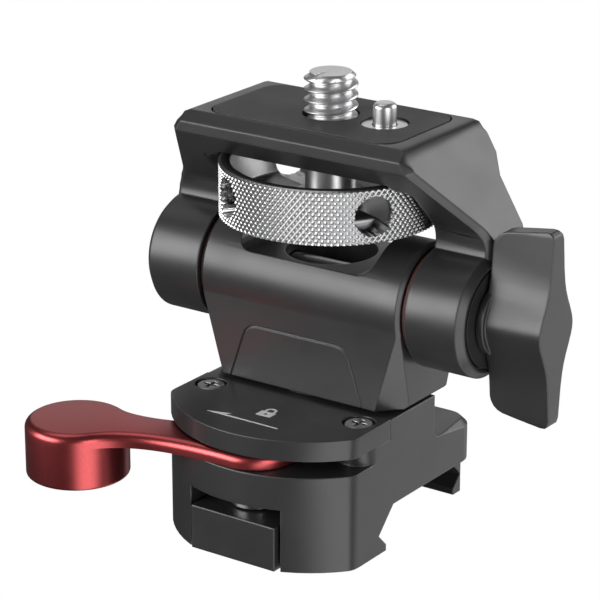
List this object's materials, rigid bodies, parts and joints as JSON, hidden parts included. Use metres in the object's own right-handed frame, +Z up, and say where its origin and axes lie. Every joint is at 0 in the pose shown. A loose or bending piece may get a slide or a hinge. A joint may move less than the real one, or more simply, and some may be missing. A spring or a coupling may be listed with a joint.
{
  "type": "monitor tilt and swivel mount",
  "caption": "Small metal monitor mount: a cam-lever rail clamp, a swivelling and tilting head locked by a wing knob, and a captive thumbwheel screw with a sprung locating pin.",
  "frame": {"origin": "on the rail seat, where the swivel axis meets the flat ceiling of the rail channel", "axes": "+X along the tilt axis towards the wing knob, -Y to the front where the cam lever is, +Z up towards the camera screw"},
  "size_m": [0.0579, 0.0412, 0.0542],
  "materials": {
    "black_anodised": "satin black anodised, bead blasted",
    "red_anodised": "satin red anodised",
    "steel": "satin stainless steel",
    "rubber": "matte black rubber",
    "fibre": "matte dark brown-red friction material",
    "polymer": "matte black acetal"
  },
  "bodies": {
    "clamp": {"clamp_base": "black_anodised", "lock_cover": "black_anodised", "cover_screw_left": "steel", "cover_screw_right": "steel", "swivel_bolt": "steel", "swivel_washer": "polymer", "jaw_spring_left": "steel", "jaw_spring_right": "steel"},
    "lever": {"cam_lever": "red_anodised", "cam_shaft": "steel"},
    "jaw": {"clamp_jaw": "black_anodised"},
    "turret": {"swivel_body": "black_anodised", "spring_washer_lower": "steel", "spring_washer_upper": "steel", "tilt_washer_left": "fibre", "tilt_washer_right": "fibre"},
    "yoke": {"tilt_yoke": "black_anodised", "top_pad": "rubber", "pin_bushing": "steel", "pin_spring": "steel", "tilt_axle": "steel", "knob_washer": "polymer"},
    "screw": {"thumbwheel": "steel", "mounting_screw": "steel", "screw_clip": "steel"},
    "pin": {"locating_pin": "steel"},
    "knob": {"wing_knob": "black_anodised"}
  },
  "joints": [
    {"name": "swivel", "type": "hinge", "parent": "clamp", "child": "turret", "pos_m": [0, 0, 0.0108], "axis": [0, 0, 1], "continuous": true},
    {"name": "tilt", "type": "hinge", "parent": "turret", "child": "yoke", "pos_m": [0, 0, 0.0232], "axis": [1, 0, 0], "range_deg": [-80, 80]},
    {"name": "thumbwheel_turn", "type": "hinge", "parent": "yoke", "child": "screw", "pos_m": [0, -0.0003, 0.0318], "axis": [0, 0, 1], "continuous": true},
    {"name": "pin_press", "type": "slide", "parent": "yoke", "child": "pin", "axis": [0, 0, 1], "range_m": [-0.0024, 0], "stiffness_N_per_m": 200, "springref_m": 0.002, "deforming": ["pin_spring"]},
    {"name": "wing_knob_turn", "type": "hinge", "parent": "yoke", "child": "knob", "pos_m": [0.0228, 0, 0.0232], "axis": [1, 0, 0], "range_deg": [0, 270]},
    {"name": "lever_swing", "type": "hinge", "parent": "clamp", "child": "lever", "pos_m": [0, -0.0155, 0.0064], "axis": [0, 0, 1], "range_deg": [0, 110]},
    {"name": "jaw_slide", "type": "slide", "parent": "clamp", "child": "jaw", "axis": [0, 1, 0], "range_m": [-0.001, 0]}
  ],
  "couplings": [
    {"joint": "jaw_slide", "follows": "lever_swing", "m_per_rad": -0.00051}
  ]
}
